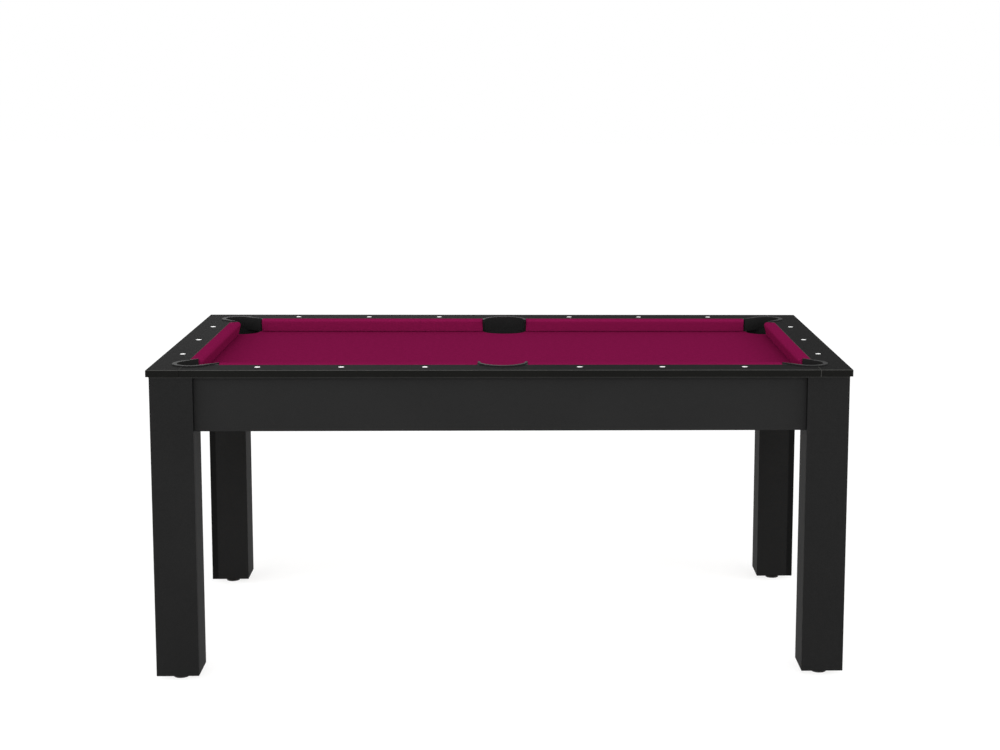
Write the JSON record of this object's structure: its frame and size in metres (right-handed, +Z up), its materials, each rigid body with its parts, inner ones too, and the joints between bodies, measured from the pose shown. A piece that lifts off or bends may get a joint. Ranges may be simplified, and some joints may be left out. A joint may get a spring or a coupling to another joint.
{
  "type": "convertible pool table",
  "caption": "Pool table on square boxed legs that doubles as a dining table, with flat rails, a stretched cloth bed and cushions, and moulded ball pockets.",
  "frame": {"origin": "on the floor under the middle of the table", "axes": "+X to the right along the table, +Y to the back, +Z up; the pictured long side faces -Y"},
  "size_m": [1.83, 1.04, 0.8365],
  "materials": {
    "laminate": "satin black laminated board",
    "edging": "black packing strip",
    "cloth": "stretched burgundy playing cloth",
    "batten_wood": "planed softwood",
    "bed_wood": "raw fibreboard",
    "pocket_plastic": "moulded, fine satin",
    "sight_plastic": "polished white",
    "zinc_steel": "zinc plated",
    "foot_plastic": "moulded black"
  },
  "bodies": {
    "table": {"rail_front": "laminate", "rail_back": "laminate", "rail_left": "laminate", "rail_right": "laminate", "rail_packers": "edging", "rail_plates": "zinc_steel", "rail_plate_screws": "zinc_steel", "rail_bolts": "zinc_steel", "rail_sights": "sight_plastic", "cushion_front_left": "cloth", "batten_front_left": "batten_wood", "cushion_front_right": "cloth", "batten_front_right": "batten_wood", "cushion_back_left": "cloth", "batten_back_left": "batten_wood", "cushion_back_right": "cloth", "batten_back_right": "batten_wood", "cushion_left": "cloth", "batten_left": "batten_wood", "cushion_right": "cloth", "batten_right": "batten_wood", "pocket_corner_front_left": "pocket_plastic", "pocket_corner_front_right": "pocket_plastic", "pocket_side_front": "pocket_plastic", "pocket_corner_back_left": "pocket_plastic", "pocket_corner_back_right": "pocket_plastic", "pocket_side_back": "pocket_plastic", "bed_board": "bed_wood", "bed_cloth": "cloth", "bed_cleats": "batten_wood", "bed_joist_left": "batten_wood", "bed_joist_right": "batten_wood", "joist_brackets": "zinc_steel", "apron_front": "laminate", "apron_back": "laminate", "apron_left": "laminate", "apron_right": "laminate", "leg_bolts": "zinc_steel", "cabinet_screws": "zinc_steel", "leg_front_left_outer": "laminate", "leg_front_left_inner": "laminate", "leg_front_right_outer": "laminate", "leg_front_right_inner": "laminate", "leg_back_left_outer": "laminate", "leg_back_left_inner": "laminate", "leg_back_right_outer": "laminate", "leg_back_right_inner": "laminate", "leg_foot_blocks": "bed_wood", "leg_top_blocks": "bed_wood", "foot_inserts": "zinc_steel"},
    "stud_front_left": {"foot_stud_front_left": "zinc_steel"},
    "pad_front_left": {"foot_pad_front_left": "foot_plastic"},
    "stud_front_right": {"foot_stud_front_right": "zinc_steel"},
    "pad_front_right": {"foot_pad_front_right": "foot_plastic"},
    "stud_back_left": {"foot_stud_back_left": "zinc_steel"},
    "pad_back_left": {"foot_pad_back_left": "foot_plastic"},
    "stud_back_right": {"foot_stud_back_right": "zinc_steel"},
    "pad_back_right": {"foot_pad_back_right": "foot_plastic"}
  },
  "joints": [
    {"name": "foot_height_front_left", "type": "slide", "parent": "table", "child": "stud_front_left", "axis": [0, 0, -1], "range_m": [0, 0.015]},
    {"name": "foot_swivel_front_left", "type": "hinge", "parent": "stud_front_left", "child": "pad_front_left", "pos_m": [-0.8525, -0.4575, 0], "axis": [0, 0, 1], "continuous": true},
    {"name": "foot_height_front_right", "type": "slide", "parent": "table", "child": "stud_front_right", "axis": [0, 0, -1], "range_m": [0, 0.015]},
    {"name": "foot_swivel_front_right", "type": "hinge", "parent": "stud_front_right", "child": "pad_front_right", "pos_m": [0.8525, -0.4575, 0], "axis": [0, 0, 1], "continuous": true},
    {"name": "foot_height_back_left", "type": "slide", "parent": "table", "child": "stud_back_left", "axis": [0, 0, -1], "range_m": [0, 0.015]},
    {"name": "foot_swivel_back_left", "type": "hinge", "parent": "stud_back_left", "child": "pad_back_left", "pos_m": [-0.8525, 0.4575, 0], "axis": [0, 0, 1], "continuous": true},
    {"name": "foot_height_back_right", "type": "slide", "parent": "table", "child": "stud_back_right", "axis": [0, 0, -1], "range_m": [0, 0.015]},
    {"name": "foot_swivel_back_right", "type": "hinge", "parent": "stud_back_right", "child": "pad_back_right", "pos_m": [0.8525, 0.4575, 0], "axis": [0, 0, 1], "continuous": true}
  ]
}
